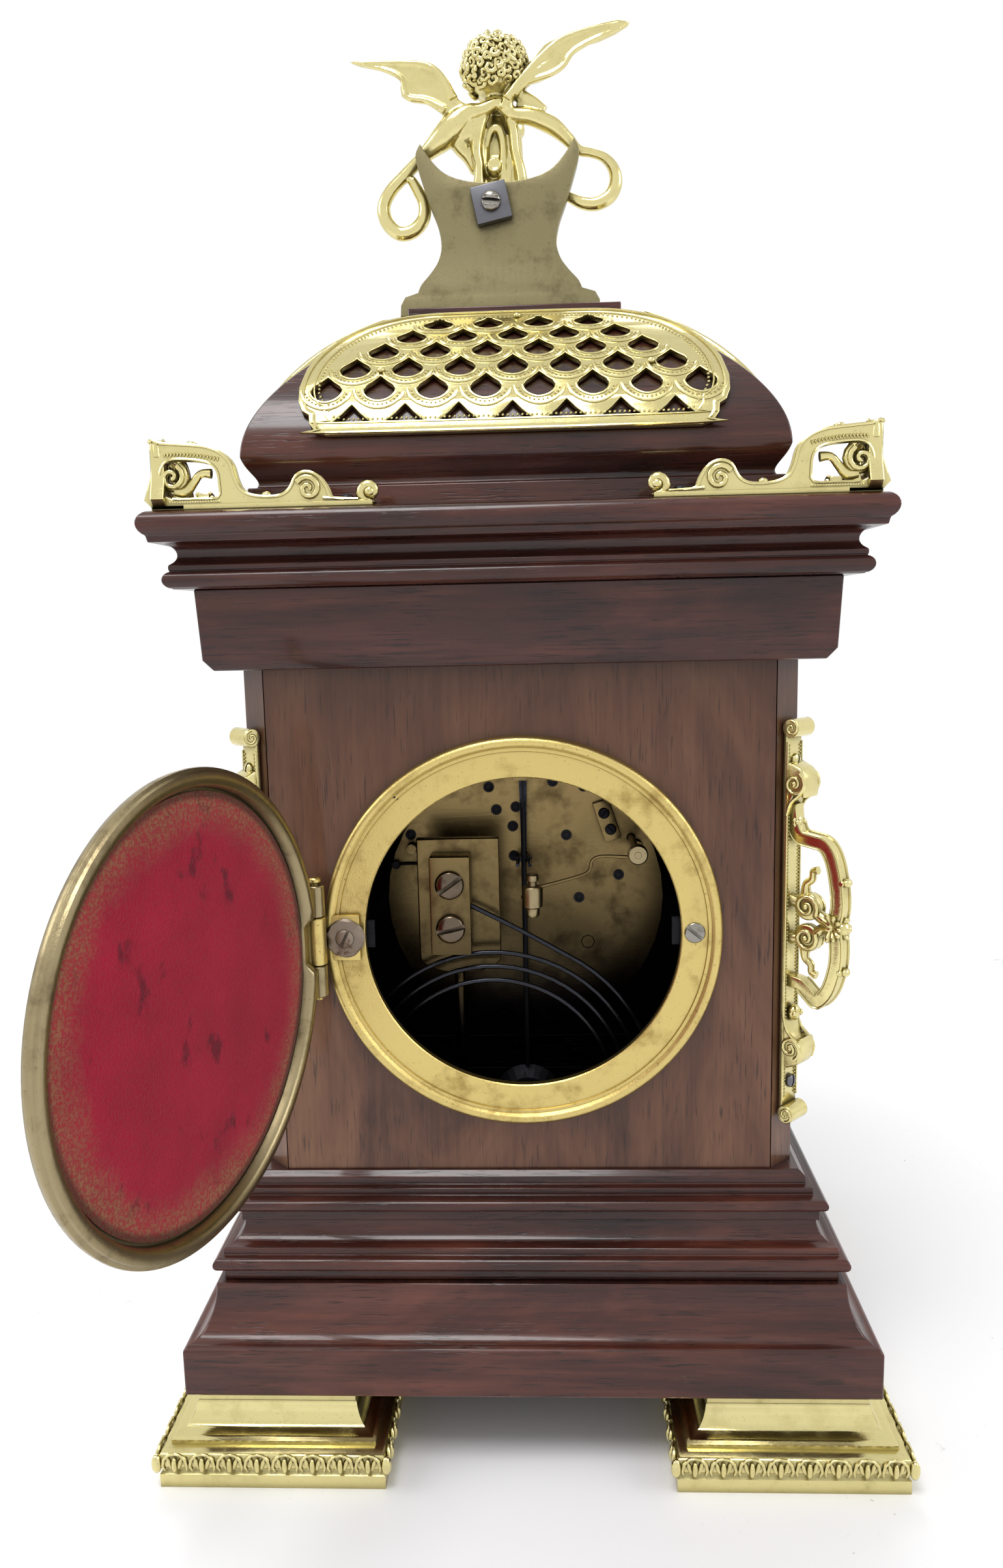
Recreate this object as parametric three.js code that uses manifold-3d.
// A small gilt-mounted mahogany bracket clock, seen with its round rear door standing open.
// Millimetres, +Z up, floor at z = 0. The dial faces -Y and the rear door faces +Y.
import * as THREE from 'three';
import { mergeVertices } from 'three/addons/utils/BufferGeometryUtils.js';
import Module from 'manifold-3d';

const wasm = await Module();
wasm.setup();

// ---------------------------------------------------------------- driving dimensions
const seat = 0.3; // gap between pieces that rest on or run beside each other
const roundSteps = 36; // facets round the large turned pieces

// case: every moulding stands the same distance out of the trunk at the sides and at the back
const trunkWidth = 156;
const trunkDepth = 114;
const cornerCant = 7;
const sideBoard = 12;
const panelBoard = 8;
const footHeight = 23;
const plinthBlockHeight = 13.7;
const plinthHeight = 29.6;
const plinthOverhang = 20.9;
const floorBelowPlinthTop = 7.6;
const lowerMouldingHeight = 15.9;
const upperMouldingHeight = 13.1;
const trunkHeight = 147.4;
const friezeHeight = 22;
const friezeOverhang = 8.2;
const corniceHeight = 20;
const corniceOverhang = 19.1;
const bellStepHeight = 7.5;
const bellHeight = 60.8;
const bellNoseInset = 3.2;
const bellTopInset = 45;
const finialBlockHeight = 3.4;

// movement opening, shared by the rear ring, the door and the dial
const centreBelowTrunkMiddle = 2.3;
const ringRadius = 56.5;
const ringWidth = 11.7;
const ringLap = 4.5; // how far the ring lies on the board round its hole
const ringThickness = 2.2;
const ringRimHeight = 1.7;

// rear door and its hinge
const hingeBeyondRing = 1.2;
const hingeStandOff = 6;
const knuckleRadius = 2.6;
const middleKnuckle = 13.6;
const endKnuckle = 9.2;
const pinRadius = 0.9;
const doorRimGap = 0.4;
const doorDepth = 4.7;
const doorWall = 1.4;
const doorOpenAngle = 106;
const liningThickness = 0.8;

// dial side: the bezel fills the front of the trunk, less these margins
const bezelEndMargin = 7.7;
const bezelSideMargin = 12;
const dialPlateInset = 6;
const dialPlateThickness = 1.5;
const dialInset = 11.5;
const dialThickness = 1.2;
const sightInset = 12;
const bezelDepth = 9.6;
const glassThickness = 1.6;
const frontHingeBeyondBezel = 0.4;
const frontKnuckleRadius = 2.2;
const minuteHandInset = 8.5;
const hourHandInset = 23.5;

// movement
const plateClearance = 0.8; // between the plates and the ring that they pass through
const plateThickness = 2.2;
const plateSpacing = 44;
const backPlateInset = 41;
const pillarRadius = 3;
const pillarInset = 4.5;
const arborRadius = 0.8;
const strapWidth = 8;
const strapThickness = 1.2;

// wheels, by the radius over their teeth
const barrelX = 20;
const barrelZ = -15;
const mesh = 0.45; // how far teeth reach between each other
const barrelTip = 17.5;
const pinionEight = 3.2;
const pinionSix = 1.9;
const secondWheelTip = 12;
const centreWheelTip = 13;
const thirdWheelTip = 11;
const escapeTip = 7;
const pendulumLength = 101;
const bobRadius = 11;

// strike gong and its hammer
const gongTurns = 3.6;
const gongOuterRadius = 48.6;
const gongPitch = 4.3;
const gongWire = 1.5;
const gongInset = 15;
const gongX = 9;
const gongAboveFloor = 4.4;
const blockX = 21.5;
const blockWidth = 12;
const blockHeight = 29.7;
const leadX = 20.5;
const leadAboveBlockFoot = 16.6;
const leadSlope = 29;
const hammerReach = 31.2;

// gilt mounts
const grilleThickness = 2.2;
const grilleHeight = 61;
const scalePitch = 14.6;
const scaleRowHeight = 7.8;
const footBase = 64;
const footCentreInset = 4;
const mountWidth = 9.6;
const finialOffset = 4.5;
const finialHeight = 85;
const finialPlateThickness = 5;

// ---------------------------------------------------------------- levels and shared places
const zPlinth = footHeight;
const zLower = zPlinth + plinthHeight;
const zUpper = zLower + lowerMouldingHeight;
const zTrunk = zUpper + upperMouldingHeight;
const zFrieze = zTrunk + trunkHeight;
const zCornice = zFrieze + friezeHeight;
const zBell = zCornice + corniceHeight;
const zFinial = zBell + bellHeight + finialBlockHeight;
const zFloor = zLower - floorBelowPlinthTop;
const zCentre = zTrunk + trunkHeight / 2 - centreBelowTrunkMiddle;
const halfWidth = trunkWidth / 2;
const halfDepth = trunkDepth / 2;
const innerHalfWidth = halfWidth - sideBoard;
const innerHalfDepth = halfDepth - panelBoard;

const rearFace = halfDepth;
const ringHoleRadius = ringRadius - ringWidth;
const boardHoleRadius = ringRadius - ringLap;
const hingeOffset = ringRadius + hingeBeyondRing;
const hingeY = rearFace + hingeStandOff;

const bezelRadius = Math.min(trunkHeight / 2 - bezelEndMargin, halfWidth - bezelSideMargin);
const bezelSightRadius = bezelRadius - sightInset;
const dialPlateRadius = bezelRadius - dialPlateInset;
const dialRadius = bezelRadius - dialInset;
const frontHingeOffset = bezelRadius + frontHingeBeyondBezel;

const plateRadius = ringHoleRadius - plateClearance;
const pillarCircle = plateRadius - pillarInset;
const backPlateRear = halfDepth - backPlateInset;
const backPlateFront = backPlateRear - plateThickness;
const frontPlateRear = backPlateFront - plateSpacing;
const frontPlateFront = frontPlateRear - plateThickness;

// the gong stands on the plinth's floor; its places are measured from the movement's centre
const gongY = halfDepth - gongInset;
const gongZ = zFloor + gongAboveFloor + gongOuterRadius - zCentre;
const blockFoot = gongZ + gongOuterRadius - 3.6;
const leadZ = blockFoot + leadAboveBlockFoot;
const hammerX = 10 - plateRadius;
const hammerZ = plateRadius - 25;

const degrees = (angle) => (angle * Math.PI) / 180;
const point = (x, y) => new THREE.Vector2(x, y);

// ---------------------------------------------------------------- materials
const material = (color, roughness, metalness) =>
  new THREE.MeshStandardMaterial({ color, roughness, metalness });
const mahogany = material(0x4a1f16, 0.35, 0);
const panelMahogany = material(0x5a3222, 0.45, 0);
const gilt = material(0xcdbb72, 0.28, 1);
const agedBrass = material(0x8d8350, 0.45, 1);
const doorBrass = material(0x9a8a4a, 0.4, 1);
const movementBrass = material(0x7d6536, 0.38, 1);
const steel = material(0x6f7276, 0.35, 1);
const blueSteel = material(0x1b2130, 0.3, 1);
const crimsonCloth = material(0x8c1d2e, 0.95, 0);
const enamel = material(0xf2efe4, 0.2, 0);
const glassClear = material(0xe8f0f0, 0.05, 0);

// ---------------------------------------------------------------- geometry helpers
// Position-only copy with shared vertices and no collapsed triangles.
function clean(geometry) {
  if (geometry.userData.closed) return geometry;
  const bare = new THREE.BufferGeometry();
  bare.setAttribute('position', geometry.getAttribute('position').clone());
  if (geometry.index) bare.setIndex(geometry.index.clone());
  const merged = mergeVertices(bare, 1e-4);
  const source = merged.index.array;
  const kept = [];
  for (let i = 0; i < source.length; i += 3) {
    const [a, b, c] = [source[i], source[i + 1], source[i + 2]];
    if (a !== b && b !== c && c !== a) kept.push(a, b, c);
  }
  merged.setIndex(kept);
  return merged;
}

function toSolid(geometry) {
  const merged = clean(geometry);
  return new wasm.Manifold(new wasm.Mesh({
    numProp: 3,
    vertProperties: new Float32Array(merged.getAttribute('position').array),
    triVerts: new Uint32Array(merged.index.array),
  }));
}

function toGeometry(solid) {
  const mesh = solid.getMesh();
  const geometry = new THREE.BufferGeometry();
  geometry.setAttribute('position', new THREE.BufferAttribute(new Float32Array(mesh.vertProperties), 3));
  geometry.setIndex(new THREE.BufferAttribute(new Uint32Array(mesh.triVerts), 1));
  geometry.userData.closed = true;
  return geometry;
}

function join(...geometries) {
  return toGeometry(geometries.map(toSolid).reduce((sum, solid) => sum.add(solid)));
}

function cut(body, ...tools) {
  return toGeometry(tools.map(toSolid).reduce((rest, tool) => rest.subtract(tool), toSolid(body)));
}

function moved(geometry, x, y, z, rx = 0, ry = 0, rz = 0) {
  const place = new THREE.Matrix4().makeRotationFromEuler(new THREE.Euler(rx, ry, rz));
  place.setPosition(x, y, z);
  return geometry.clone().applyMatrix4(place);
}

function mirrored(geometry, sx, sy) {
  return facingOut(geometry.clone().applyMatrix4(new THREE.Matrix4().makeScale(sx, sy, 1)));
}

function scaled(geometry, sx, sy = sx, sz = sx) {
  return geometry.clone().applyMatrix4(new THREE.Matrix4().makeScale(sx, sy, sz));
}

const outline = (points) => new THREE.Shape(points.map(([x, y]) => point(x, y)));

// A flat plate of even thickness; the shape's openings are cut right through it.
function pierced(shape, thickness, steps = 8) {
  const prism = (contour, depth) =>
    new THREE.ExtrudeGeometry(contour, { depth, bevelEnabled: false, curveSegments: steps });
  const openings = shape.holes.map((hole) =>
    moved(prism(new THREE.Shape(hole.getPoints(steps)), thickness + 2), 0, 0, -1));
  const plate = prism(new THREE.Shape(shape.getPoints(steps)), thickness);
  return openings.length ? cut(plate, ...openings) : clean(plate);
}

// A shape drawn in x and z, given its thickness from y = front to y = front + thickness.
function upright(shape, front, thickness, steps = 8) {
  return moved(pierced(shape, thickness, steps), 0, front + thickness, 0, Math.PI / 2);
}

function box(x0, x1, y0, y1, z0, z1) {
  const solid = new THREE.BoxGeometry(x1 - x0, y1 - y0, z1 - z0);
  return moved(solid, (x0 + x1) / 2, (y0 + y1) / 2, (z0 + z1) / 2);
}

// A turned piece on an axis along Y; the profile is a list of [radius, y].
function turned(profile, segments = roundSteps) {
  const lathe = new THREE.LatheGeometry(profile.map(([r, y]) => point(r, y)), segments);
  return facingOut(clean(lathe));
}

// Turns every face over when the closed surface encloses a negative volume.
function facingOut(geometry) {
  const corner = [0, 1, 2].map(() => new THREE.Vector3());
  const position = geometry.getAttribute('position');
  const index = geometry.index.array;
  let volume = 0;
  for (let i = 0; i < index.length; i += 3) {
    corner.forEach((v, k) => v.fromBufferAttribute(position, index[i + k]));
    volume += corner[0].dot(corner[1].clone().cross(corner[2]));
  }
  if (volume < 0) {
    for (let i = 0; i < index.length; i += 3) [index[i + 1], index[i + 2]] = [index[i + 2], index[i + 1]];
  }
  return geometry;
}

// A turned ring: its closed profile comes back to its first point.
const turnedRing = (profile, segments) => turned([...profile, profile[0]], segments);

function rodAlongY(radius, y0, y1, x, z, segments = 12) {
  return moved(new THREE.CylinderGeometry(radius, radius, y1 - y0, segments), x, (y0 + y1) / 2, z);
}

function rodAlongZ(radius, z0, z1, x, y, segments = 16) {
  return moved(new THREE.CylinderGeometry(radius, radius, z1 - z0, segments), x, y, (z0 + z1) / 2, Math.PI / 2);
}

// A band of even width along a smooth line through the given points, as a flat shape.
function ribbon(points, width, steps = 12) {
  const spline = new THREE.SplineCurve(points.map(([x, y]) => point(x, y)));
  const left = [];
  const right = [];
  for (let i = 0; i <= steps; i++) {
    const at = spline.getPoint(i / steps);
    const along = spline.getTangent(i / steps);
    left.push(point(at.x - (along.y * width) / 2, at.y + (along.x * width) / 2));
    right.unshift(point(at.x + (along.y * width) / 2, at.y - (along.x * width) / 2));
  }
  return new THREE.Shape([...left, ...right]);
}

const disc = (x, y, radius) => new THREE.Shape().absarc(x, y, radius, 0, 2 * Math.PI);

function arc(cx, cy, rx, ry, from, to, steps) {
  return Array.from({ length: steps + 1 }, (_, i) => {
    const angle = degrees(from + ((to - from) * i) / steps);
    return [cx + rx * Math.cos(angle), cy + ry * Math.sin(angle)];
  });
}

function bezier(a, b, c, d, steps) {
  const curve = new THREE.CubicBezierCurve(point(...a), point(...b), point(...c), point(...d));
  return curve.getPoints(steps).map((p) => [p.x, p.y]);
}

// ---------------------------------------------------------------- assembly
const clock = new THREE.Group();

function add(name, geometry, finish, parent = clock) {
  const mesh = new THREE.Mesh(clean(geometry), finish);
  mesh.name = name;
  parent.add(mesh);
  return mesh;
}

// ---------------------------------------------------------------- wooden case
// A mitred moulding: the profile lists [overhang beyond the trunk, height], bottom to top.
// With an opening it is a frame round the trunk's inner space, otherwise a solid block.
function moulding(base, profile, open = false) {
  const rings = profile.map(([over, h]) => [halfWidth + over, halfDepth + over, base + h]);
  if (open) {
    const last = rings[rings.length - 1];
    rings.push([innerHalfWidth, innerHalfDepth, last[2]], [innerHalfWidth, innerHalfDepth, base], rings[0]);
  }
  const position = [];
  const index = [];
  for (const [w, d, z] of rings) position.push(w, -d, z, w, d, z, -w, d, z, -w, -d, z);
  for (let level = 0; level + 1 < rings.length; level++) {
    for (let corner = 0; corner < 4; corner++) {
      const a = level * 4 + corner;
      const b = level * 4 + ((corner + 1) % 4);
      index.push(a, b, b + 4, a, b + 4, a + 4);
    }
  }
  if (!open) {
    const top = (rings.length - 1) * 4;
    index.push(0, 2, 1, 0, 3, 2, top, top + 1, top + 2, top, top + 2, top + 3);
  }
  const geometry = new THREE.BufferGeometry();
  geometry.setAttribute('position', new THREE.Float32BufferAttribute(position, 3));
  geometry.setIndex(index);
  return geometry;
}

function buildCase() {
  const lip = plinthOverhang - 1;
  const plinthNeck = 12.6;
  const plinth = moulding(zPlinth, [
    [plinthOverhang, 0],
    [plinthOverhang, plinthBlockHeight],
    ...arc(lip, plinthHeight, lip - plinthNeck, plinthHeight - plinthBlockHeight - 1, 270, 180, 6),
  ]);
  const well = box(-innerHalfWidth, innerHalfWidth, -innerHalfDepth, innerHalfDepth, zFloor, zLower + 1);
  add('plinth', cut(plinth, well), mahogany);

  add('lower_base_moulding', moulding(zLower, [
    [10.5, 0],
    [10.5, 3.2],
    ...arc(11.3, 5.5, 2, 2, -80, 80, 5),
    [10.6, 7.7],
    [10.6, 9.4],
    ...arc(10.2, 15.4, 5, 5.6, 270, 180, 5),
    [5.2, lowerMouldingHeight],
  ], true), mahogany);

  add('upper_base_moulding', moulding(zUpper, [
    [6, 0],
    [6, 2.9],
    ...arc(6.4, 4.9, 1.7, 1.7, -80, 80, 5),
    [4.4, 6.9],
    [4.4, 9],
    [2.6, 9.4],
    [2.6, 11.6],
    [0.8, upperMouldingHeight],
  ], true), mahogany);

  buildTrunk();

  add('frieze', moulding(zFrieze, [
    [5, 0],
    [friezeOverhang - 0.9, 3],
    [friezeOverhang, friezeHeight],
  ]), mahogany);

  add('cornice', moulding(zCornice, [
    [corniceOverhang - 6.7, 0],
    ...arc(corniceOverhang - 6.7, 2.4, 2.2, 2.2, -85, 80, 5),
    [corniceOverhang - 6, 5],
    [corniceOverhang - 6, 6.2],
    ...arc(corniceOverhang - 4.4, 8.9, 3.6, 2.9, 235, 110, 5),
    [corniceOverhang - 2.3, 12],
    [corniceOverhang - 2, 13.4],
    ...arc(corniceOverhang - 3.3, 16.7, 3.3, 3.3, -65, 90, 6),
    [corniceOverhang - 4, corniceHeight],
  ]), mahogany);

  add('bell_top', moulding(zBell, [
    [-4.5, 0],
    [-4.5, bellStepHeight],
    ...bezier([-6.4, bellStepHeight], [-8.6, 9.8], [-4.4, 11.4], [-bellNoseInset, bellNoseHeight], 6),
    ...domeProfile.slice(1),
    [-bellTopInset - 0.8, bellHeight],
    [-bellTopInset - 0.8, bellHeight + finialBlockHeight],
  ]), mahogany);
}

// The swept dome of the bell top, [overhang, height above the cornice].
const bellNoseHeight = 15.5;
const domeProfile = bezier(
  [-bellNoseInset, bellNoseHeight],
  [-bellNoseInset, bellNoseHeight + 12.5],
  [-18, bellHeight - 15.8],
  [-bellTopInset, bellHeight],
  7,
);

// Four boards: canted sides with a rebate that takes the front and back panels.
function buildTrunk() {
  const panelHalf = halfWidth - cornerCant;
  const side = outline([
    [panelHalf, halfDepth],
    [panelHalf, innerHalfDepth],
    [innerHalfWidth, innerHalfDepth],
    [innerHalfWidth, -innerHalfDepth],
    [panelHalf, -innerHalfDepth],
    [panelHalf, -halfDepth],
    [halfWidth, cornerCant - halfDepth],
    [halfWidth, halfDepth - cornerCant],
  ]);
  const board = moved(pierced(side, trunkHeight), 0, 0, zTrunk);
  add('case_side_left', board, mahogany);
  add('case_side_right', mirrored(board, -1, 1), mahogany);

  const width = panelHalf - seat;
  const panel = outline([[-width, zTrunk], [width, zTrunk], [width, zFrieze], [-width, zFrieze]]);
  panel.holes.push(new THREE.Path().absarc(0, zCentre, boardHoleRadius, 0, 2 * Math.PI));
  add('case_back', upright(panel, innerHalfDepth, panelBoard, 22), panelMahogany);
  add('case_front', upright(panel, -halfDepth, panelBoard, 22), panelMahogany);
}

// ---------------------------------------------------------------- gilt feet
function buildFeet() {
  const half = footBase / 2;
  const levels = [
    [half, 0],
    [half, 4.6],
    [half - 1, 4.9],
    ...arc(half - 0.9, 7.9, 3.2, 3, -80, 80, 5),
    [half - 2.5, 11.2],
    [half - 2.5, 12.6],
    ...arc(half - 3.2, 20.4, 7.2, 7.6, 270, 180, 5),
    [half - 9.2, 20.6],
    [half - 9.2, footHeight - seat],
  ];
  const centreX = halfWidth + plinthOverhang - 26;
  const centreY = halfDepth - footCentreInset;
  for (const [end, sy] of [['front', -1], ['rear', 1]]) {
    for (const [side, sx] of [['left', 1], ['right', -1]]) {
      add(`foot_${end}_${side}`, squareStack(levels, sx * centreX, sy * centreY), gilt);
    }
  }
}

// Square rings stacked on one another, [half size, z].
function squareStack(levels, x, y) {
  const position = [];
  const index = [];
  for (const [h, z] of levels) {
    position.push(x + h, y - h, z, x + h, y + h, z, x - h, y + h, z, x - h, y - h, z);
  }
  for (let level = 0; level + 1 < levels.length; level++) {
    for (let corner = 0; corner < 4; corner++) {
      const a = level * 4 + corner;
      const b = level * 4 + ((corner + 1) % 4);
      index.push(a, b, b + 4, a, b + 4, a + 4);
    }
  }
  const top = (levels.length - 1) * 4;
  index.push(0, 2, 1, 0, 3, 2, top, top + 1, top + 2, top, top + 2, top + 3);
  const geometry = new THREE.BufferGeometry();
  geometry.setAttribute('position', new THREE.Float32BufferAttribute(position, 3));
  geometry.setIndex(index);
  return geometry;
}

// ---------------------------------------------------------------- fish-scale grilles
// One opening between two rows of scales: a blunt bottom and a pointed top.
function scaleOpening(x, v) {
  const half = scalePitch * 0.285;
  const top = scaleRowHeight * 0.58;
  return new THREE.Path([
    [0, top],
    [-half, 0.3],
    [-half * 0.6, -half * 0.6],
    [half * 0.6, -half * 0.6],
    [half, 0.3],
  ].map(([dx, dv]) => point(x + dx, v + dv)));
}

// The lowest row opens only above the straight bottom bar.
function archOpening(x, v) {
  const half = scalePitch * 0.27;
  const rise = scaleRowHeight * 0.42;
  return new THREE.Path([point(x, v + rise), point(x - half, v - rise * 0.5), point(x + half, v - rise * 0.5)]);
}

// Flat fret in x and v, where v is measured up the dome's surface from its nose.
// Its outline is drawn 61 high and brought to the grille's height.
function fret(rows, half) {
  const top = 61;
  const size = grilleHeight / top;
  const shape = new THREE.Shape([
    ...arc(half - 10, 9.5, 7, 5.5, -90, 0, 3),
    ...arc(half - 4, 15, 4, 5, -70, 0, 2),
    ...arc(half - 28, 26, 27, 24, 8, 62, 4),
    [half * 0.5, top],
    [-half * 0.5, top],
    ...arc(28 - half, 26, 27, 24, 118, 172, 4),
    ...arc(4 - half, 15, 4, 5, 180, 250, 2),
    ...arc(10 - half, 9.5, 7, 5.5, 180, 270, 3),
  ].map(([x, v]) => point(x * size, v * size)));
  rows.forEach((count, row) => {
    for (let i = 0; i < count; i++) {
      const x = (i - (count - 1) / 2) * scalePitch;
      const v = 10 * size + row * scaleRowHeight;
      shape.holes.push(row === 0 ? archOpening(x, v) : scaleOpening(x, v - 0.8 * size));
    }
  });
  return pierced(shape, grilleThickness);
}

// Bends the flat fret over the dome: it is sliced where the dome's facets meet, each slice is laid
// on its own facet with mitred edges, and the slices are welded along the lines where they meet.
function overDome(flat) {
  const facets = domeProfile.map(([over, h]) => point(halfDepth + over, zBell + h));
  const seams = [0];
  for (let i = 1; i < facets.length; i++) seams.push(seams[i - 1] + facets[i].distanceTo(facets[i - 1]));
  const mitres = facetMitres(facets);
  const whole = toSolid(flat);
  const corners = [];
  const faces = [];
  const weld = (v) => {
    const known = corners.findIndex((w) => w.distanceToSquared(v) < 1e-4);
    return known < 0 ? corners.push(v) - 1 : known;
  };
  for (let i = 0; i + 1 < facets.length; i++) {
    const band = box(-halfWidth, halfWidth, seams[i], seams[i + 1], -1, grilleThickness + 1);
    const slice = toGeometry(whole.intersect(toSolid(band)));
    const position = slice.getAttribute('position');
    const onSeam = (k) => seams.slice(1, -1).some((seam) => Math.abs(position.getY(k) - seam) < 1e-3);
    const laid = Array.from({ length: position.count }, (_, k) => {
      const share = (position.getY(k) - seams[i]) / (seams[i + 1] - seams[i]);
      const foot = facets[i].clone().lerp(facets[i + 1], share);
      foot.addScaledVector(mitres[i].clone().lerp(mitres[i + 1], share), seat + position.getZ(k));
      return weld(new THREE.Vector3(-position.getX(k), foot.x, foot.y));
    });
    for (let t = 0; t < slice.index.count; t += 3) {
      const face = [0, 1, 2].map((k) => slice.index.getX(t + k));
      const level = face.every((k) => Math.abs(position.getY(k) - position.getY(face[0])) < 1e-3);
      if (!(level && face.every(onSeam))) faces.push(face.map((k) => laid[k]));
    }
  }
  const geometry = new THREE.BufferGeometry().setFromPoints(corners);
  geometry.setIndex(stitched(corners, faces).flat());
  return geometry;
}

// Where one slice has a corner in the middle of its neighbour's edge, that neighbour's face is split there.
function stitched(corners, faces) {
  const key = (a, b) => a * corners.length + b;
  const length = (a, b) => corners[a].distanceTo(corners[b]);
  for (let pass = 0; pass < 8; pass++) {
    const known = new Set(faces.flatMap(([a, b, c]) => [key(a, b), key(b, c), key(c, a)]));
    const open = (a, b) => !known.has(key(b, a));
    const loose = faces.flatMap(([a, b, c]) => [[a, b], [b, c], [c, a]].filter(([p, q]) => open(p, q)).flat());
    if (loose.length === 0) break;
    const between = (a, b) => loose.find((k) =>
      k !== a && k !== b && Math.abs(length(a, k) + length(k, b) - length(a, b)) < 1e-5);
    faces = faces.flatMap((face) => {
      for (let turn = 0; turn < 3; turn++) {
        const [a, b, c] = [face[turn], face[(turn + 1) % 3], face[(turn + 2) % 3]];
        const k = open(a, b) ? between(a, b) : undefined;
        if (k !== undefined) return [[a, k, c], [k, b, c]];
      }
      return [face];
    });
  }
  return faces;
}

// At each corner of the profile, the offset that keeps both neighbouring faces one unit out.
function facetMitres(facets) {
  const normals = facets.slice(1).map((next, i) => {
    const along = next.clone().sub(facets[i]).normalize();
    return point(along.y, -along.x);
  });
  return facets.map((_, i) => {
    const sum = normals[Math.max(i - 1, 0)].clone().add(normals[Math.min(i, normals.length - 1)]);
    return sum.multiplyScalar(2 / sum.lengthSq());
  });
}

function buildGrilles() {
  const wide = overDome(fret([7, 8, 7, 6, 5, 4], 59));
  add('grille_rear', wide, gilt);
  add('grille_front', mirrored(wide, -1, -1), gilt);
  const narrow = overDome(fret([4, 5, 4, 3, 2, 1], 37));
  const shift = halfWidth - halfDepth;
  add('grille_left', moved(narrow, shift, 0, 0, 0, 0, -Math.PI / 2), gilt);
  add('grille_right', moved(narrow, -shift, 0, 0, 0, 0, Math.PI / 2), gilt);
}

// ---------------------------------------------------------------- corner brackets on the cornice
// Brackets and corner mounts are drawn for a strap this wide and brought to the mounts' width.
const drawnWidth = 9.6;

// Pierced profile of one arm, [distance from the corner, height].
function bracketArm() {
  const blade = outline([
    [0, 0.6],
    [0, 17.4],
    [2.6, 15.4],
    [6, 16.6],
    [12, 16.4],
    [18.4, 14.6],
    [21.4, 11],
    [22, 6.4],
    [24, 3.6],
    [29, 2.8],
    [34, 3.4],
    [36.4, 7.4],
    [38.8, 8.7],
    [41.8, 7.2],
    [43.6, 3.6],
    [44.2, 0.6],
  ]);
  blade.holes.push(new THREE.Path([
    [8.2, 2.4], [6.8, 5.6], [9.6, 6.6], [12.2, 5.2], [12.8, 6.4], [9.6, 8.6], [8.4, 12.6],
    [14, 12.2], [16.8, 9.8], [17.2, 5.4], [16.2, 2.4],
  ].map(([x, y]) => point(x, y))));
  const half = drawnWidth / 2;
  const thickness = 4;
  return join(
    upright(blade, -half + 0.4, thickness),
    box(-0.8, 58, -half, half - 1.2, 0, 1.5),
    rodAlongY(2.8, -half, half - 1.2, 57.4, 3, 10),
  );
}

function buildBrackets() {
  const arm = bracketArm();
  const half = drawnWidth / 2;
  const across = moved(mirrored(arm, 1, -1), half, 0, 0, 0, 0, Math.PI / 2);
  const corner = scaled(join(moved(arm, 0, half, 0), across), mountWidth / drawnWidth);
  const cornerX = halfWidth + corniceOverhang - 4;
  const cornerY = halfDepth + corniceOverhang - 4;
  for (const [end, sy] of [['front', -1], ['rear', 1]]) {
    for (const [side, sx] of [['left', 1], ['right', -1]]) {
      const placed = moved(mirrored(corner, -sx, -sy), sx * cornerX, sy * cornerY, zBell);
      add(`gallery_bracket_${end}_${side}`, placed, gilt);
    }
  }
}

// ---------------------------------------------------------------- scrolled mounts on the canted corners
// Drawn in s (out of the corner) and z, centred on the movement's height.
function cornerMount() {
  const reach = 57;
  const half = drawnWidth / 2;
  const blade = drawnWidth * 0.8;
  const across = (shape, width) => upright(shape, -width / 2, width);
  const bail = ribbon([
    [2.6, 34], [3.4, 26.5], [7, 24], [13.2, 23.6], [17.2, 18], [18.8, 9], [18, 2.5],
    [18.8, -5], [17.6, -13], [13.6, -20], [10.2, -18.6], [6, -15.6], [1, -16.4],
  ], 3.2, 20);
  const upperLeaf = outline([
    [0.8, 44], [5, 43.4], [8.8, 41.6], [8.2, 38.6], [5.6, 36.4], [2.8, 35.6], [0.8, 32],
  ]);
  const lowerLeaf = outline([
    [0.8, -29], [3.2, -30], [5.6, -31.4], [8.8, -34], [7.4, -37.6], [4.4, -39.2], [0.8, -39],
  ]);
  const upperHook = ribbon([[17.4, 3.4], [12.4, 5], [10.4, 9.6], [10.8, 15.4]], 2.2, 5);
  const lowerHook = ribbon([[17.4, 1.6], [12.4, 0.2], [10.2, -4.4], [9.4, -11.6]], 2.2, 5);
  return join(
    box(0, 1.6, -half, half, -reach, reach),
    rodAlongY(2.8, -half, half, 2.8, reach - 1, 10),
    rodAlongY(2.8, -half, half, 2.8, 1 - reach, 10),
    across(bail, blade),
    across(upperLeaf, blade),
    across(lowerLeaf, blade),
    across(upperHook, blade * 0.6),
    across(lowerHook, blade * 0.6),
    rodAlongY(3, -blade * 0.35, blade * 0.35, 8.8, 7.4, 8),
    rodAlongY(3, -blade * 0.35, blade * 0.35, 8.4, -2.8, 8),
    moved(new THREE.SphereGeometry(3.2, 8, 5), 19.6, 0, 2.6),
    moved(new THREE.SphereGeometry(1.4, 6, 4), 19.6, 0, 14.6),
    moved(new THREE.SphereGeometry(1.4, 6, 4), 19.8, 0, -10.2),
  );
}

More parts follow.
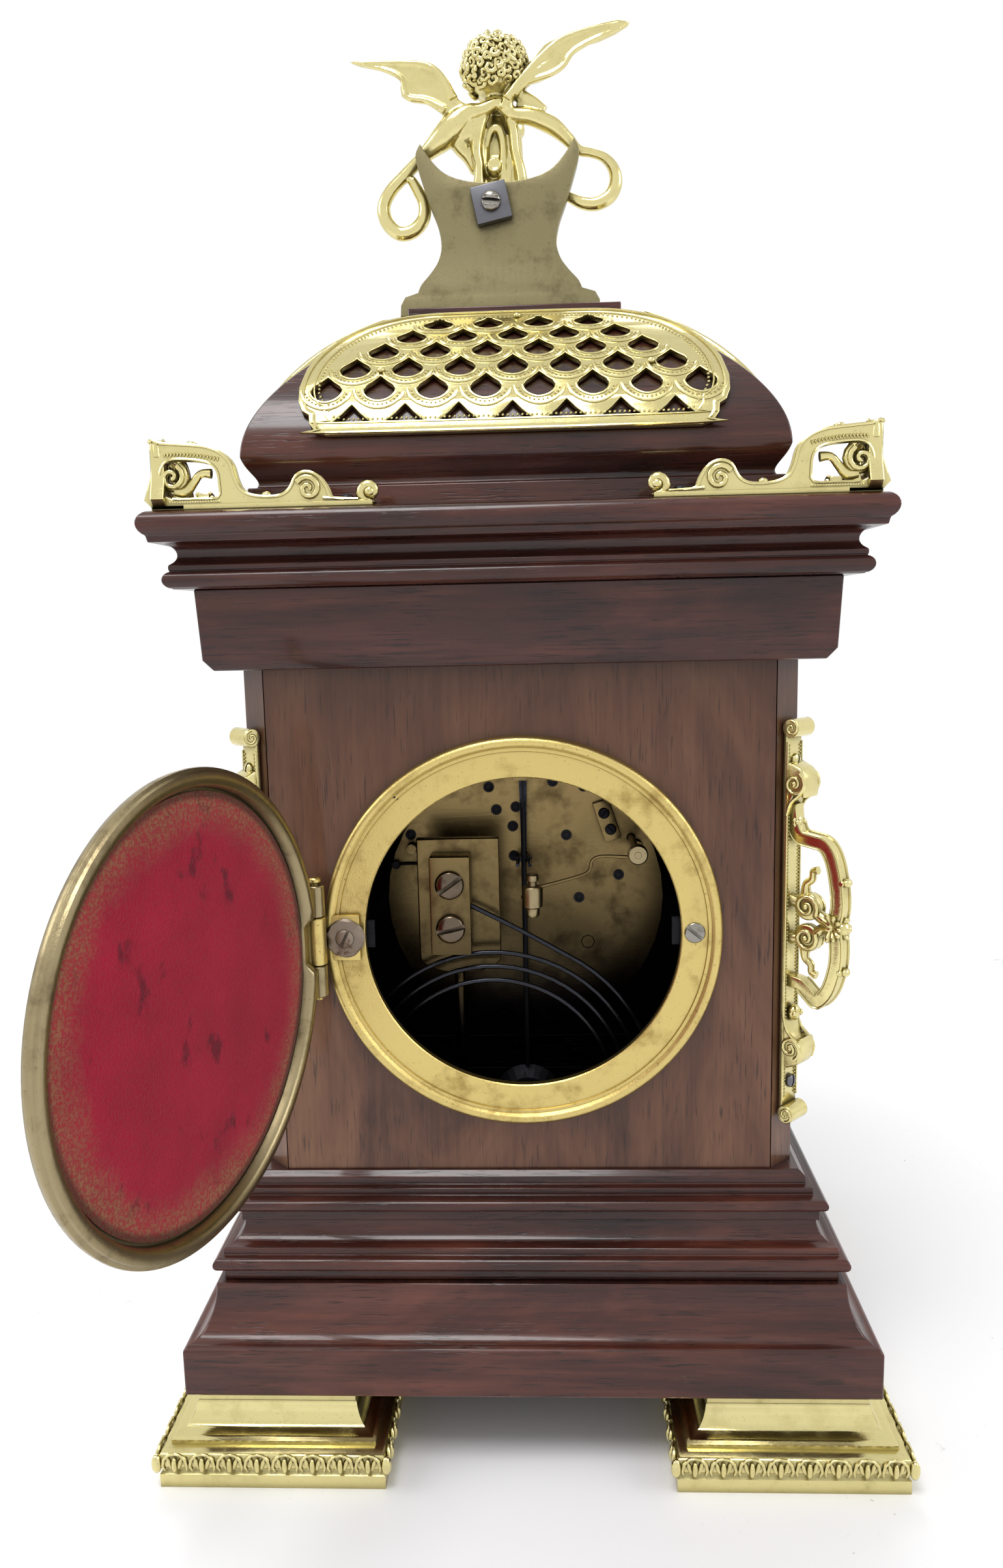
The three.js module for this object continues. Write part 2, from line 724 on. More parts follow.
function buildCornerMounts() {
  const mount = scaled(cornerMount(), mountWidth / drawnWidth);
  const faceX = halfWidth - cornerCant / 2;
  const faceY = halfDepth - cornerCant / 2;
  for (const [end, sy] of [['front', -1], ['rear', 1]]) {
    for (const [side, sx] of [['left', 1], ['right', -1]]) {
      const turn = Math.atan2(sy, sx);
      const out = seat / Math.SQRT2;
      const placed = moved(mount, sx * (faceX + out), sy * (faceY + out), zCentre, 0, 0, turn);
      add(`corner_mount_${end}_${side}`, placed, gilt);
    }
  }
}

// ---------------------------------------------------------------- frieze mounts
// Low pierced castings with scrolled ends, on the sides and the front of the frieze.
function friezeMount(halfLength, height, thickness) {
  const shape = outline([
    [-halfLength, 2], [-halfLength + 5, 0], [halfLength - 5, 0], [halfLength, 2],
    [halfLength, height - 5], [halfLength - 6, height - 2.4], [halfLength * 0.4, height - 4],
    [0, height], [-halfLength * 0.4, height - 4], [6 - halfLength, height - 2.4], [-halfLength, height - 5],
  ]);
  for (const side of [-1, 1]) {
    for (const share of [0.22, 0.52, 0.8]) {
      const hole = new THREE.Path();
      hole.absellipse(side * share * halfLength, height * 0.42, halfLength * 0.1, height * 0.2, 0, 2 * Math.PI);
      shape.holes.push(hole);
    }
  }
  return upright(shape, 0, thickness, 3);
}

function buildFriezeMounts() {
  const height = friezeHeight * 0.61;
  const thickness = 2.2;
  const lift = zFrieze + friezeHeight * 0.227;
  const face = friezeOverhang - 0.3 + seat + thickness;
  const side = friezeMount(halfDepth - 4, height, thickness);
  add('frieze_mount_left', moved(side, halfWidth + face, 0, lift, 0, 0, Math.PI / 2), gilt);
  add('frieze_mount_right', moved(side, -halfWidth - face, 0, lift, 0, 0, -Math.PI / 2), gilt);
  const front = friezeMount(halfWidth - 22, height, thickness);
  add('frieze_mount_front', moved(front, 0, -halfDepth - face, lift), gilt);
}

// ---------------------------------------------------------------- finial
// Plate, nut and figure are drawn about the plate's foot, 85 high over all, and brought to the finial's height.
function buildFinial() {
  const size = finialHeight / 85;
  const thickness = finialPlateThickness / size;
  const place = (geometry) => moved(scaled(geometry, size), finialOffset, 0, zFinial);
  const rightSide = [
    [31, 0.9], [30.4, 4.4], [28.6, 6.6], [24.6, 7.4], [22.4, 10.6], [18.8, 13.4], [17.2, 18.4], [17.2, 22.4],
    [19.4, 33], [22.6, 42], [24.9, 48.4], [23.4, 50],
  ];
  const crescent = arc(0, 58.6, 23.4, 20.2, -26, -154, 9);
  const plate = outline([
    ...rightSide,
    ...crescent,
    ...rightSide.slice().reverse().map(([x, h]) => [-x, h]),
    [-31, 0],
    [31, 0],
  ]);
  const stud = { radius: 2.6, x: 2, z: 31.3, end: thickness / 2 + seat + 4.2 };
  const hole = rodAlongY(stud.radius + seat, -10, 10, stud.x, stud.z, 16);
  add('finial_plate', place(cut(upright(plate, -thickness / 2, thickness), hole)), agedBrass);

  const nutSize = 10.8;
  const nut = new THREE.BoxGeometry(nutSize, 3, nutSize);
  const seated = moved(nut, stud.x, thickness / 2 + seat + 1.5, stud.z, 0, degrees(12), 0);
  add('finial_nut', place(cut(seated, hole)), steel);
  add('finial_figure', place(figure(-thickness / 2 - seat, stud)), gilt);
}

// A limb: round sections of changing radius along a smooth line of [x, y, z, radius].
function limb(points, sides = 6, steps = 5) {
  const line = new THREE.CatmullRomCurve3(points.map(([x, y, z]) => new THREE.Vector3(x, y, z)));
  const radii = points.map((p) => p[3]);
  const frames = line.computeFrenetFrames(steps, false);
  const position = [];
  const index = [];
  for (let i = 0; i <= steps; i++) {
    const at = line.getPoint(i / steps);
    const share = (i / steps) * (radii.length - 1);
    const low = Math.min(Math.floor(share), radii.length - 2);
    const radius = radii[low] + (radii[low + 1] - radii[low]) * (share - low);
    for (let k = 0; k < sides; k++) {
      const angle = (k / sides) * 2 * Math.PI;
      const v = at.clone()
        .addScaledVector(frames.normals[i], Math.cos(angle) * radius)
        .addScaledVector(frames.binormals[i], Math.sin(angle) * radius);
      position.push(v.x, v.y, v.z);
    }
  }
  for (let i = 0; i < steps; i++) {
    for (let k = 0; k < sides; k++) {
      const a = i * sides + k;
      const b = i * sides + ((k + 1) % sides);
      index.push(a, b, b + sides, a, b + sides, a + sides);
    }
  }
  const end = steps * sides;
  for (let k = 1; k + 1 < sides; k++) index.push(0, k + 1, k, end, end + k, end + k + 1);
  const geometry = new THREE.BufferGeometry();
  geometry.setAttribute('position', new THREE.Float32BufferAttribute(position, 3));
  geometry.setIndex(index);
  return facingOut(geometry);
}

function ball(x, y, z, rx, ry, rz, wide = 12, high = 8) {
  return moved(scaled(new THREE.SphereGeometry(1, wide, high), rx, ry, rz), x, y, z);
}

// A winged child, cast in one piece with two ring handles and the threaded stud.
function figure(rear, stud) {
  const y = rear - 6;
  const wing = (points) => upright(outline(points), y + 1, 2.4);
  const leftWing = wing([
    [5.5, 59], [16.5, 67], [16.5, 72], [22.5, 74.6], [32.5, 76.4], [45.5, 77], [37.5, 73],
    [30.5, 71], [29.5, 66.4], [26.5, 64.4], [21.5, 63.6], [13.5, 61], [7.5, 57],
  ]);
  const rightWing = wing([
    [-5.5, 60], [-0.5, 68], [-11.5, 75], [-16.5, 79.4], [-26.5, 83.4], [-41.5, 85], [-38.5, 82.6],
    [-29.5, 78.6], [-22.9, 75.4], [-20.5, 71.6], [-13.5, 68.4], [-8.5, 64], [-5.5, 58],
  ]);
  const ring = scaled(new THREE.TorusGeometry(1, 0.26, 6, 14), 7, 7.6, 7);
  const handle = (x, z) => moved(ring, x, y + 3.4, z, Math.PI / 2);
  const head = ball(0, y - 2, 69.4, 10.6, 10.2, 11, 12, 8);
  const chest = ball(0, y - 1, 50, 8.6, 6.6, 12.6, 10, 7);
  const shoulders = ball(0, y - 1, 58.5, 12.5, 5.6, 4.6, 10, 6);
  const hips = ball(0, y - 1.4, 37, 9.6, 6.8, 7.4, 10, 6);
  const leftArm = limb([[9, y, 60, 3.8], [17, y, 55, 3.4], [23.6, y + 3.6, 48.6, 2.8]]);
  const rightArm = limb([[-9, y, 60, 3.8], [-16, y, 57, 3.4], [-23, y + 3.6, 49.4, 2.8]]);
  const leftStrap = limb([[23, y + 3.4, 47, 2.2], [25.4, y + 3.4, 41, 2.2], [27.4, y + 3.4, 36.6, 2]]);
  const rightStrap = limb([[-22, y + 3.4, 48, 2.2], [-24, y + 3.4, 46, 2.2], [-27.6, y + 3.4, 45, 2]]);
  return join(
    head, chest, shoulders, hips, leftArm, rightArm, leftWing, rightWing,
    handle(29, 31), handle(-30, 39), leftStrap, rightStrap,
    rodAlongY(stud.radius, y - 1, stud.end, stud.x, stud.z, 16),
    ball(0, y - 1, stud.z - 1, 6, 6.4, 8, 8, 6),
  );
}

// ---------------------------------------------------------------- rear ring, door and hinge
function buildRear() {
  const rim = ringThickness + ringRimHeight;
  const flange = turnedRing([
    [ringHoleRadius, rearFace],
    [ringHoleRadius, rearFace + ringThickness],
    [ringRadius - 3.7, rearFace + ringThickness],
    [ringRadius - 2.6, rearFace + rim],
    [ringRadius - 0.8, rearFace + rim - 0.3],
    [ringRadius, rearFace + ringThickness - 0.4],
    [ringRadius, rearFace],
    [boardHoleRadius - seat, rearFace],
    [boardHoleRadius - seat, rearFace - 5],
    [boardHoleRadius - 1.2, rearFace - 5],
    [boardHoleRadius - 1.2, rearFace],
  ]);
  const half = middleKnuckle / 2;
  const lug = box(ringHoleRadius + 1, hingeOffset + 0.6, rearFace + 0.4, rearFace + rim + 0.1, -half, half);
  const knuckle = rodAlongZ(knuckleRadius, -half, half, hingeOffset, hingeY);
  const bore = rodAlongZ(pinRadius + seat, -60, 60, hingeOffset, hingeY, 12);
  const ring = cut(join(flange, lug, knuckle), bore);
  add('rear_bezel', moved(ring, 0, 0, zCentre), agedBrass);

  const pin = join(
    rodAlongZ(pinRadius, -half - endKnuckle - 1.6, half + endKnuckle + 1.2, hingeOffset, hingeY, 12),
    rodAlongZ(pinRadius + 0.8, half + endKnuckle + 0.8, half + endKnuckle + 2.4, hingeOffset, hingeY, 12),
  );
  add('rear_hinge_pin', moved(pin, 0, 0, zCentre), steel);
  buildDoor(rim, bore);
}

// The door is drawn closed, then turned about the pin to the angle at which it stands open.
function buildDoor(rim, bore) {
  const door = new THREE.Group();
  door.position.set(hingeOffset, hingeY, zCentre);
  door.rotation.z = -degrees(doorOpenAngle);
  clock.add(door);
  const inPlace = (geometry) => moved(geometry, -hingeOffset, -hingeY, 0);

  const under = rearFace + rim + doorRimGap;
  const outer = under + doorDepth;
  const cupRadius = ringRadius - 5;
  const cup = turned([
    [0, outer - doorWall],
    [cupRadius, outer - doorWall],
    [cupRadius + 0.8, under],
    [ringRadius - 1.4, under],
    [ringRadius, under + 1],
    [ringRadius, outer - 1.6],
    [ringRadius - 1.4, outer - 0.3],
    [ringRadius - 3.4, outer],
    [0, outer],
  ]);
  const half = middleKnuckle / 2;
  const knuckles = [1, -1].map((side) => {
    const ends = [side * (half + seat), side * (half + endKnuckle)].sort((a, b) => a - b);
    return rodAlongZ(knuckleRadius, ends[0], ends[1], hingeOffset, hingeY);
  });
  const notchInner = hingeOffset - knuckleRadius - 2 * seat;
  const notch = box(notchInner, hingeOffset + 5, under - 5, outer + 5, -half - seat, half + seat);
  add('rear_door',inPlace(cut(join(cut(cup, notch), ...knuckles), bore)), doorBrass, door);

  const clothTop = outer - doorWall - seat;
  const cloth = turned([
    [0, clothTop - liningThickness],
    [cupRadius - 0.6, clothTop - liningThickness],
    [cupRadius - 0.6, clothTop],
    [0, clothTop],
  ]);
  add('door_lining', inPlace(cloth), crimsonCloth, door);
}

// ---------------------------------------------------------------- dial side
function buildDialSide() {
  const face = -halfDepth;
  const plateFront = face - dialPlateThickness;
  const hingeF = plateFront - bezelDepth / 2;
  const plate = turnedRing([
    [4.6, face], [dialPlateRadius, face], [dialPlateRadius, plateFront], [4.6, plateFront],
  ]);
  const feet = arc(0, 0, plateRadius - 10, plateRadius - 10, 90, 330, 2).map(([x, z]) =>
    rodAlongY(2.5, face - 0.5, frontPlateFront - seat, x, z, 10));
  const half = 3.9;
  const lug = box(dialPlateRadius - 3, frontHingeOffset, plateFront, face, -half, half);
  const neck = box(frontHingeOffset - 1.4, frontHingeOffset + 1.4, hingeF, face, -half, half);
  const knuckle = rodAlongZ(frontKnuckleRadius, -half, half, frontHingeOffset, hingeF);
  const bore = rodAlongZ(pinRadius + seat, -20, 20, frontHingeOffset, hingeF, 12);
  const windingHoles = [1, -1].map((side) => rodAlongY(2.6, -80, 0, side * barrelX, barrelZ, 12));
  const centreHole = rodAlongY(4.6, -80, 0, 0, 0, 16);
  const whole = cut(join(plate, ...feet, lug, neck, knuckle), bore, ...windingHoles, centreHole);
  add('dial_plate', moved(whole, 0, 0, zCentre), agedBrass);

  const dialBack = plateFront - seat;
  const dialDisc = turned([
    [0, dialBack],
    [dialRadius, dialBack],
    [dialRadius, dialBack - dialThickness + 0.4],
    [dialRadius - 1.2, dialBack - dialThickness],
    [0, dialBack - dialThickness],
  ]);
  add('dial', moved(cut(dialDisc, ...windingHoles, centreHole), 0, 0, zCentre), enamel);

  const door = new THREE.Group();
  door.position.set(frontHingeOffset, hingeF, zCentre);
  clock.add(door);
  const inPlace = (geometry) => moved(geometry, -frontHingeOffset, -hingeF, 0);
  const back = plateFront - seat;
  const front = back - bezelDepth;
  const groove = back - bezelDepth * 0.62;
  const ring = turnedRing([
    [bezelSightRadius + 3.2, back],
    [bezelRadius, back],
    [bezelRadius, back - 2.4],
    ...arc(bezelRadius - 5, back - 2.6, 5, bezelDepth - 2.8, 0, -90, 4).slice(1),
    [bezelSightRadius + 2, front],
    [bezelSightRadius, groove - glassThickness - seat],
    [bezelSightRadius + 3.2, groove - glassThickness - seat],
  ]);
  const knuckles = [1, -1].map((side) => {
    const ends = [side * (half + seat), side * (half + 6.5)].sort((a, b) => a - b);
    return join(
      rodAlongZ(frontKnuckleRadius, ends[0], ends[1], frontHingeOffset, hingeF),
      box(frontHingeOffset - 4.4, frontHingeOffset, hingeF - 1.2, hingeF + 1.2, ends[0], ends[1]),
    );
  });
  const gap = half + seat;
  const notch = box(frontHingeOffset - 3.2, frontHingeOffset + 5, front - 5, back + 1, -gap, gap);
  add('glass_bezel', inPlace(cut(join(cut(ring, notch), ...knuckles), bore)), gilt, door);
  const glassRadius = bezelSightRadius + 2.8;
  const glass = turned([
    [0, groove - 0.6],
    [glassRadius, groove],
    [glassRadius, groove - glassThickness],
    [0, groove - glassThickness - 0.6],
  ]);
  add('dial_glass', inPlace(glass), glassClear, door);

  const pin = rodAlongZ(pinRadius, -half - 7.4, half + 7.4, frontHingeOffset, hingeF, 12);
  add('front_hinge_pin', moved(pin, 0, 0, zCentre), agedBrass);
  buildHands(dialBack - dialThickness);
}

// Hands in the spade pattern, set to ten past ten.
function buildHands(dialFace) {
  const hand = (length, width, bore, front, thickness, angle) => {
    const shape = outline([
      [-width * 0.3, -length * 0.16], [width * 0.3, -length * 0.16], [width * 0.42, length * 0.5],
      [width * 1.5, length * 0.62], [width * 1.6, length * 0.7], [width * 0.5, length * 0.8], [0, length],
      [-width * 0.5, length * 0.8], [-width * 1.6, length * 0.7], [-width * 1.5, length * 0.62],
      [-width * 0.42, length * 0.5],
    ]);
    const boss = rodAlongY(bore + 1.8, front, front + thickness, 0, 0, 20);
    const flat = join(upright(shape, front, thickness), boss);
    return moved(flat, 0, 0, 0, 0, degrees(angle));
  };
  const hourFront = dialFace - 2.2;
  const minuteFront = hourFront - 1.6;
  const hourPipe = rodAlongY(2.9, hourFront, frontPlateFront - 9, 0, 0, 20);
  const hourBore = rodAlongY(arborRadius + 0.2 + seat, -90, 0, 0, 0, 16);
  const hourHand = hand(dialRadius - hourHandInset, 2.4, 2.9, hourFront, 0.8, -55);
  add('hour_hand', moved(cut(join(hourHand, hourPipe), hourBore), 0, 0, zCentre), blueSteel);
  const minuteHand = hand(dialRadius - minuteHandInset, 2, 1.4, minuteFront, 0.8, 60);
  add('minute_hand', moved(cut(minuteHand, hourBore), 0, 0, zCentre), blueSteel);
}

// ---------------------------------------------------------------- movement
// A wheel or pinion with pointed teeth and spokes, its axis along Y; one tooth points to the aim.
function toothed(teeth, tip, depth, front, thickness, spokes, aim) {
  const rim = new THREE.Shape(Array.from({ length: teeth * 2 }, (_, i) => {
    const angle = degrees(aim) + (i / teeth) * Math.PI;
    const radius = i % 2 === 0 ? tip : tip - depth;
    return point(radius * Math.cos(angle), radius * Math.sin(angle));
  }));
  const inner = tip - depth - 1.8;
  const hub = tip * 0.22 + 0.6;
  for (let k = 0; k < spokes; k++) {
    const from = (360 / spokes) * k + 12;
    const to = (360 / spokes) * (k + 1) - 12;
    const window = [...arc(0, 0, inner, inner, from, to, 3), ...arc(0, 0, hub, hub, to - 6, from + 6, 1)];
    rim.holes.push(new THREE.Path(window.map(([x, y]) => point(x, y))));
  }
  return upright(rim, front, thickness);
}

// The point at the given distances from two others, on the chosen side of the line between them.
function meeting(ax, az, ra, bx, bz, rb, side) {
  const span = Math.hypot(bx - ax, bz - az);
  const along = (ra * ra - rb * rb + span * span) / (2 * span);
  const off = side * Math.sqrt(ra * ra - along * along);
  const ux = (bx - ax) / span;
  const uz = (bz - az) / span;
  return [ax + along * ux - off * uz, az + along * uz + off * ux];
}

// Direction in degrees, in the x and z plane, from one place to another.
function bearing([ax, az], [bx, bz]) {
  return (Math.atan2(bz - az, bx - ax) * 180) / Math.PI;
}

function buildMovement() {
  const pillars = [25, 155, 258, 282].map((angle) => [
    pillarCircle * Math.cos(degrees(angle)),
    pillarCircle * Math.sin(degrees(angle)),
  ]);
  const plate = (front) => moved(
    new THREE.CylinderGeometry(plateRadius, plateRadius, plateThickness, 36), 0, front + plateThickness / 2, 0,
  );
  const fromCentre = secondWheelTip + pinionEight - mesh;
  const fromBarrel = barrelTip + pinionEight - mesh;
  const secondAt = meeting(0, 0, fromCentre, barrelX, barrelZ, fromBarrel, 1);
  const thirdZ = centreWheelTip + pinionSix - mesh;
  const escapeZ = thirdZ + thirdWheelTip + pinionSix - mesh + 0.1;
  const palletZ = escapeZ + escapeTip + 3;
  const holes = [
    [0, 0, arborRadius + 0.2],
    [...secondAt, arborRadius],
    [0, thirdZ, arborRadius],
    [0, escapeZ, arborRadius],
    [0, palletZ, arborRadius],
    [barrelX, barrelZ, 2],
    [-barrelX, barrelZ, 2],
    [hammerX, hammerZ, 1.2],
  ].map(([x, z, radius]) => rodAlongY(radius + seat, -60, 60, x, z, 8));
  const pillarRods = pillars.flatMap(([x, z]) => [
    rodAlongY(pillarRadius, frontPlateRear - 0.5, backPlateFront - seat, x, z, 8),
    rodAlongY(1.6, backPlateFront - 1, backPlateRear + 3, x, z, 8),
  ]);
  const frontPlate = cut(join(plate(frontPlateFront), ...pillarRods), ...holes);
  add('movement_front_plate', moved(frontPlate, 0, 0, zCentre), movementBrass);
  const pillarHoles = pillars.map(([x, z]) =>
    rodAlongY(1.6 + seat, backPlateFront - 1, backPlateRear + 1, x, z, 8));
  const backPlate = cut(plate(backPlateFront), ...holes, ...pillarHoles);
  add('movement_back_plate', moved(backPlate, 0, 0, zCentre), movementBrass);

  const arbor = (from = frontPlateFront, radius = arborRadius) =>
    rodAlongY(radius, from, backPlateRear, 0, 0, 8);
  const barrelRear = frontPlateRear + 22;
  for (const [name, x] of [['going_barrel', barrelX], ['strike_barrel', -barrelX]]) {
    const drum = rodAlongY(barrelTip - 2, frontPlateRear + 1.5, barrelRear, 0, 0, 24);
    const aim = Math.sign(x) * bearing([x, barrelZ], secondAt);
    const teeth = toothed(48, barrelTip, 1.2, barrelRear - 0.5, 2, 0, aim);
    const winding = arbor(-halfDepth - dialPlateThickness - dialThickness - 1, 2);
    add(name, moved(join(drum, teeth, winding), x, 0, zCentre + barrelZ), movementBrass);
  }
  const secondLayer = barrelRear + 4;
  const second = join(
    toothed(48, secondWheelTip, 1.1, secondLayer, 1.4, 4, bearing(secondAt, [0, 0])),
    toothed(8, pinionEight, 0.9, barrelRear - 1.5, 4, 0, bearing(secondAt, [barrelX, barrelZ]) + 180 / 8),
    arbor(),
  );
  add('second_wheel', moved(second, secondAt[0], 0, zCentre + secondAt[1]), movementBrass);

  const centreLayer = secondLayer + 4;
  const handReach = -halfDepth - dialPlateThickness - dialThickness - 4.6;
  const centre = join(
    toothed(72, centreWheelTip, 1, centreLayer, 1.4, 4, 90),
    toothed(8, pinionEight, 0.9, secondLayer - 1, 3.4, 0, bearing([0, 0], secondAt) + 180 / 8),
    arbor(handReach, arborRadius + 0.2),
  );
  add('centre_wheel', moved(centre, 0, 0, zCentre), movementBrass);

  const thirdLayer = centreLayer + 4.4;
  const third = join(
    toothed(72, thirdWheelTip, 1, thirdLayer, 1.4, 4, 90),
    toothed(6, pinionSix, 0.8, centreLayer - 1, 3.4, 0, 270 + 180 / 6),
    arbor(),
  );
  add('third_wheel', moved(third, 0, 0, zCentre + thirdZ), movementBrass);

  const escapeLayer = thirdLayer + 4.4;
  const escape = join(
    toothed(40, escapeTip, 1.1, escapeLayer, 1.2, 3, 90),
    toothed(6, pinionSix, 0.8, thirdLayer - 1, 3.4, 0, 270 + 180 / 6),
    arbor(),
  );
  add('escape_wheel', moved(escape, 0, 0, zCentre + escapeZ), movementBrass);
  buildPendulum(palletZ, escapeZ - palletZ, escapeLayer);
}

// The pallets and the crutch turn on one arbor; the pendulum hangs from the bridge behind it.
function buildPendulum(pivot, escapeDrop, layer) {
  const crutchY = backPlateRear + 2.6;
  const rodY = backPlateRear + 8;
  const reach = escapeTip + seat * 2;
  const anchor = new THREE.Shape([
    ...arc(0, escapeDrop, reach + 2, reach + 2, 145, 35, 8),
    ...arc(0, escapeDrop, reach, reach, 35, 145, 8),
  ].map(([x, z]) => point(x, z)));
  const crutchLength = 25;
  const blade = outline([[-1.2, 1.6], [1.2, 1.6], [0.8, -crutchLength], [-0.8, -crutchLength]]);
  const crutch = join(
    upright(anchor, layer - 0.4, 2),
    rodAlongY(1.6, layer - 0.4, layer + 1.6, 0, 0, 12),
    rodAlongY(arborRadius, frontPlateFront, crutchY + 1, 0, 0, 10),
    upright(blade, crutchY - 0.5, 1.2),
    rodAlongY(0.6, crutchY, rodY + 4, 1.9, 1 - crutchLength, 8),
    rodAlongY(0.6, crutchY, rodY + 4, -1.9, 1 - crutchLength, 8),
    box(-2.5, 2.5, crutchY - 0.5, crutchY + 0.7, 0.2 - crutchLength, 1.8 - crutchLength),
  );
  add('pallets_and_crutch', moved(crutch, 0, 0, zCentre + pivot), steel);

  const bridge = cut(
    join(
      box(-9, 9, backPlateRear + seat, backPlateRear + 1.8, 2.4, 6.4),
      box(-2.6, 2.6, backPlateRear + 1, rodY + 3, 2.4, 6.4),
    ),
    box(-1.1, 1.1, rodY - 2, rodY + 2, 1, 8),
  );
  add('suspension_bridge', moved(bridge, 0, 0, zCentre + pivot), movementBrass);

  const shoulder = bobRadius * 0.7;
  const bob = turned([
    [0, rodY - 4], [shoulder, rodY - 3], [bobRadius, rodY], [shoulder, rodY + 3], [0, rodY + 4],
  ], 28);
  const pendulum = join(
    rodAlongY(0.5, rodY - 2.6, rodY + 2.6, 0, 6.4 + seat + 0.5, 8),
    box(-0.3, 0.3, rodY - 1.6, rodY + 1.6, -6, 7),
    rodAlongZ(0.8, -pendulumLength - bobRadius - 3, -5, 0, rodY, 8),
    moved(bob, 0, 0, -pendulumLength),
  );
  add('pendulum', moved(pendulum, 0, 0, zCentre + pivot), steel);
}

// ---------------------------------------------------------------- strike gong and hammer
// Points of the gong wire: a straight lead from the block, then a flat spiral that winds inwards.
function gongLine() {
  const leadAngle = degrees(122);
  const start = new THREE.Vector3(leadX, gongY, leadZ);
  const points = [start];
  const firstBend = new THREE.Vector3(
    gongX + gongOuterRadius * Math.cos(leadAngle), gongY, gongZ + gongOuterRadius * Math.sin(leadAngle),
  );
  for (let i = 1; i < 6; i++) points.push(start.clone().lerp(firstBend, i / 6));
  const stepsPerTurn = 24;
  const steps = Math.round(gongTurns * stepsPerTurn);
  for (let i = 0; i <= steps; i++) {
    const angle = leadAngle + (i / stepsPerTurn) * 2 * Math.PI;
    const radius = gongOuterRadius - (gongPitch * i) / stepsPerTurn;
    points.push(new THREE.Vector3(gongX + radius * Math.cos(angle), gongY, gongZ + radius * Math.sin(angle)));
  }
  return points;
}

// The wire keeps one flat side to the back plate all the way, so it never twists.
function wireAlong(points, radius, sides) {
  const position = [];
  const index = [];
  points.forEach((at, i) => {
    const before = points[Math.max(i - 1, 0)];
    const after = points[Math.min(i + 1, points.length - 1)];
    const along = after.clone().sub(before).normalize();
    const outward = new THREE.Vector3(0, 1, 0);
    const across = new THREE.Vector3().crossVectors(outward, along);
    for (let k = 0; k < sides; k++) {
      const angle = (k / sides) * 2 * Math.PI;
      const v = at.clone()
        .addScaledVector(across, radius * Math.cos(angle))
        .addScaledVector(outward, -radius * Math.sin(angle));
      position.push(v.x, v.y, v.z);
    }
  });
  const last = points.length - 1;
  const end = last * sides;
  for (let i = 0; i < last; i++) {
    for (let k = 0; k < sides; k++) {
      const a = i * sides + k;
      const b = i * sides + ((k + 1) % sides);
      index.push(a, b, b + sides, a, b + sides, a + sides);
    }
  }
  for (let k = 1; k + 1 < sides; k++) index.push(0, k + 1, k, end, end + k, end + k + 1);
  const geometry = new THREE.BufferGeometry();
  geometry.setAttribute('position', new THREE.Float32BufferAttribute(position, 3));
  geometry.setIndex(index);
  return facingOut(geometry);
}

function leastSelfGap(points, wire) {
  let least = Infinity;
  for (let i = 0; i < points.length; i++) {
    for (let k = i + 8; k < points.length; k++) least = Math.min(least, points[i].distanceTo(points[k]) - wire);
  }
  return least;
}

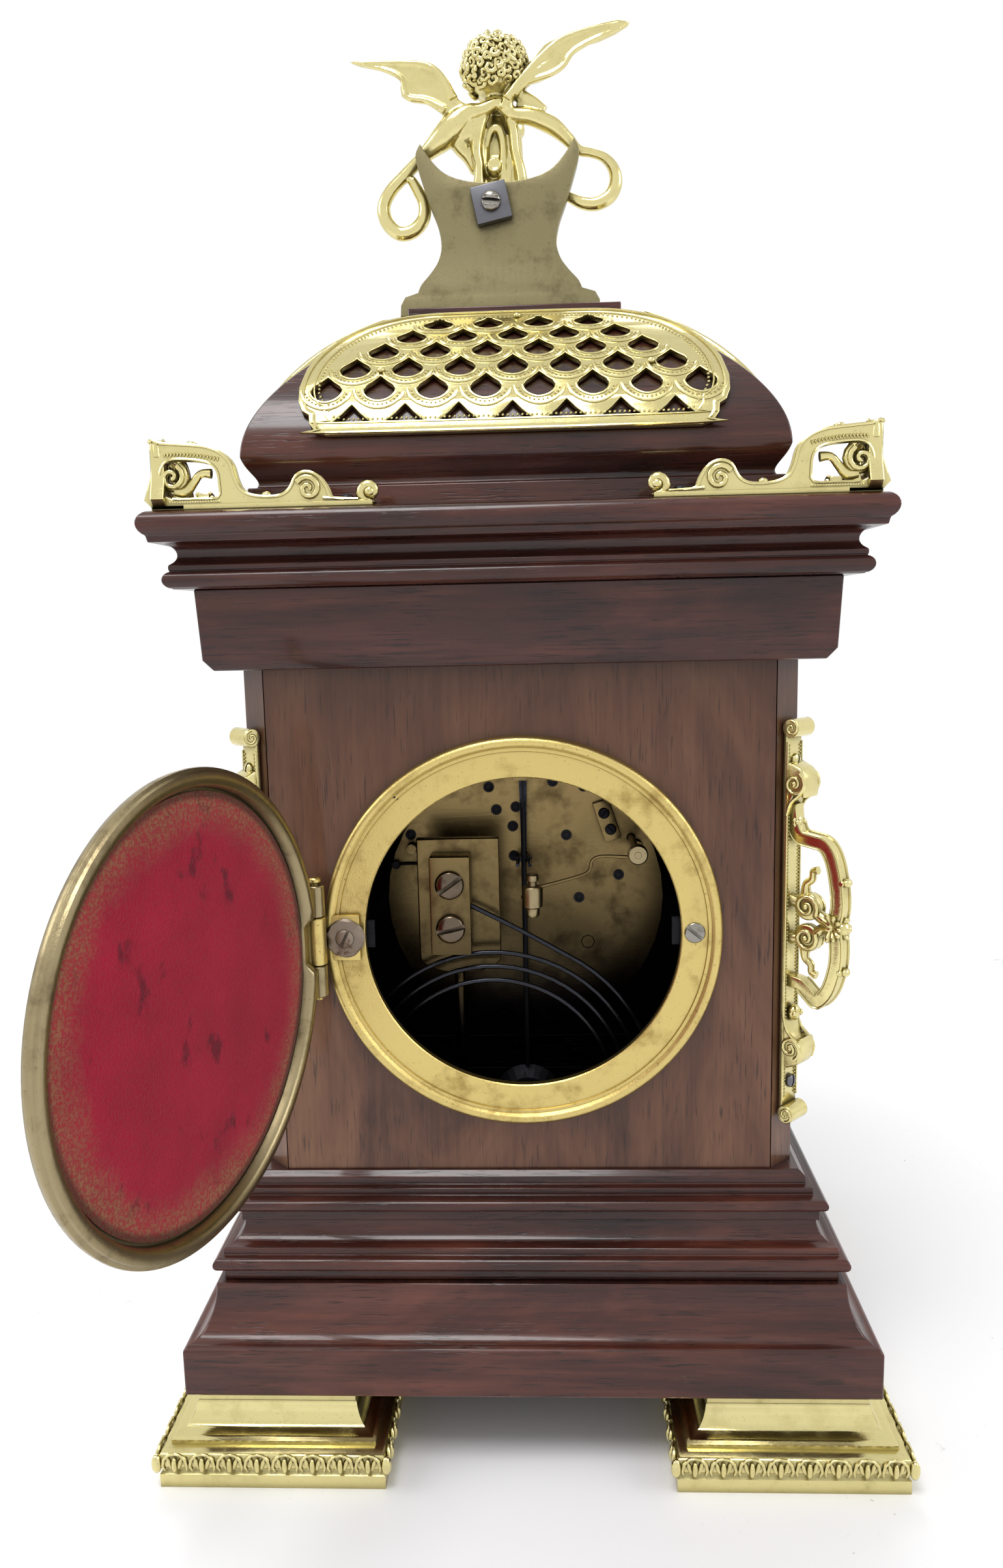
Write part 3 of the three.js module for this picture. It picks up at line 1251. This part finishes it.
function buildGong() {
  const line = gongLine();
  console.log(`gong wire: least gap to itself ${leastSelfGap(line, gongWire).toFixed(2)} mm`);
  add('gong_coil', moved(wireAlong(line, gongWire / 2, 6), 0, 0, zCentre), blueSteel);

  const blockTop = blockFoot + blockHeight;
  const standFace = gongY - 4.6;
  const half = blockWidth / 2;
  const body = box(blockX - half, blockX + half, standFace + seat, gongY + 4, blockFoot, blockTop);
  const slotZ = leadZ - 8 * Math.tan(degrees(leadSlope));
  const slot = new THREE.BoxGeometry(20, gongWire + 1, gongWire + 1.6);
  const block = cut(body, moved(slot, leadX - 8, gongY, slotZ, 0, degrees(-leadSlope), 0));
  add('gong_block', moved(block, 0, 0, zCentre), movementBrass);

  const standX = blockX - 2;
  const top = blockTop + 4;
  const bottom = blockFoot - 8.4;
  const wide = 12.6;
  const plate = upright(outline([
    [standX - wide, top],
    ...arc(standX, bottom + 5, wide, 5, 180, 360, 6),
    [standX + wide, top],
  ]), standFace - 4, 4);
  const floor = zFloor - zCentre + seat;
  const post = rodAlongZ(1.8, floor + 1, bottom + 6, standX + 0.5, standFace - 2, 12);
  const flange = rodAlongZ(9, floor, floor + 2, standX + 0.5, standFace - 2, 20);
  add('gong_stand', moved(join(plate, post, flange), 0, 0, zCentre), movementBrass);

  const headX = hammerX + hammerReach;
  const headZ = leadZ - 3;
  const arm = limb([
    [hammerX, gongY, hammerZ, 0.6],
    [hammerX + 10, gongY, hammerZ - 0.6, 0.6],
    [hammerX + 15, gongY, hammerZ - 5, 0.6],
    [hammerX + 22, gongY, headZ + 5.6, 0.6],
    [headX, gongY, headZ + 3, 0.6],
  ], 6, 9);
  const hammer = join(
    rodAlongY(1.2, frontPlateFront, gongY + 1.6, hammerX, hammerZ, 12),
    rodAlongY(3, gongY - 1.4, gongY + 1.4, hammerX, hammerZ, 16),
    arm,
    rodAlongZ(3.1, headZ, headZ + 6.4, headX, gongY, 16),
    rodAlongZ(2, headZ - 3, headZ + 0.5, headX, gongY, 16),
    rodAlongZ(1.3, headZ + 6, headZ + 10, headX, gongY, 10),
  );
  add('strike_hammer', moved(hammer, 0, 0, zCentre), steel);
}

// ---------------------------------------------------------------- straps that clamp dial and ring to the case
function buildStraps() {
  const outer = boardHoleRadius - 1.2 - seat - 0.2;
  const inner = outer - strapThickness;
  const half = strapWidth / 2;
  const rear = rearFace - seat;
  const front = -halfDepth + seat;
  const strap = join(
    box(inner, outer, front, rear, -half, half),
    box(ringHoleRadius - 2.4, outer, rear - strapThickness, rear, -half, half),
    box(ringHoleRadius - 2.4, outer, front, front + strapThickness, -half, half),
  );
  add('strap_left', moved(strap, 0, 0, zCentre), steel);
  add('strap_right', moved(mirrored(strap, -1, 1), 0, 0, zCentre), steel);
}

buildCase();
buildFeet();
buildGrilles();
buildBrackets();
buildCornerMounts();
buildFriezeMounts();
buildFinial();
buildRear();
buildDialSide();
buildMovement();
buildGong();
buildStraps();

// The origin is on the floor under the middle of the whole outline, with the rear door open.
clock.updateMatrixWorld(true);
const bounds = new THREE.Box3().setFromObject(clock, true);
const middle = bounds.getCenter(new THREE.Vector3());
clock.position.set(-middle.x, -middle.y, 0);

export default clock;
